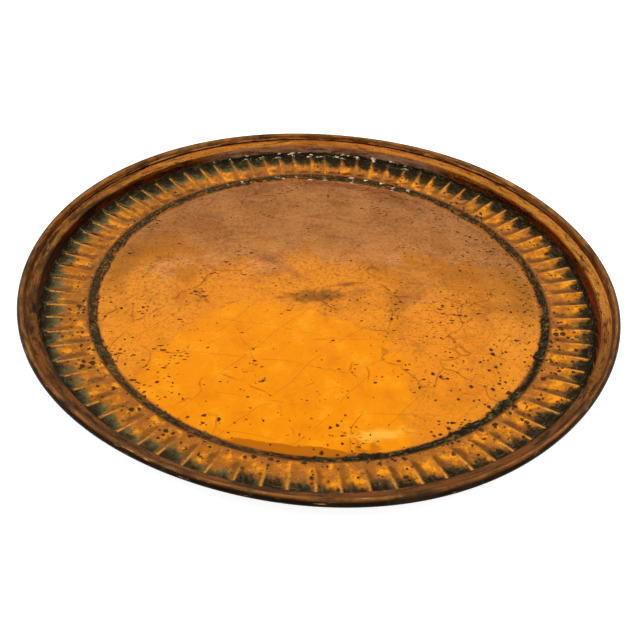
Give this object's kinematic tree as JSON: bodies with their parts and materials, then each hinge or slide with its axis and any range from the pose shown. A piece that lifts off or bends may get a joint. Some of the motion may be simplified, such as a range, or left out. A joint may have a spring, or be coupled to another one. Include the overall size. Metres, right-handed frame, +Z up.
{
  "type": "serving tray",
  "caption": "Large round copper serving tray with a flat floor, a ring of hollow flutes, an upright wall, a sloping lip and a rolled, wired edge.",
  "frame": {"origin": "middle of the floor's underside, which the tray rests on", "axes": "+Z up, out of the tray's hollow; the tray is round about Z, and +X points to a ridge between two flutes and to the butt joint of the rim wire"},
  "size_m": [0.6, 0.6, 0.0363],
  "materials": {
    "aged_copper": "hammered copper sheet, worn bright on the floor and the ridges, browned on the lip, with dark green-brown patina in the flutes and corners",
    "iron_wire": "drawn black iron wire, hidden in the rolled edge"
  },
  "bodies": {
    "root": {"copper_pan": "aged_copper", "rim_wire": "iron_wire"}
  },
  "joints": []
}
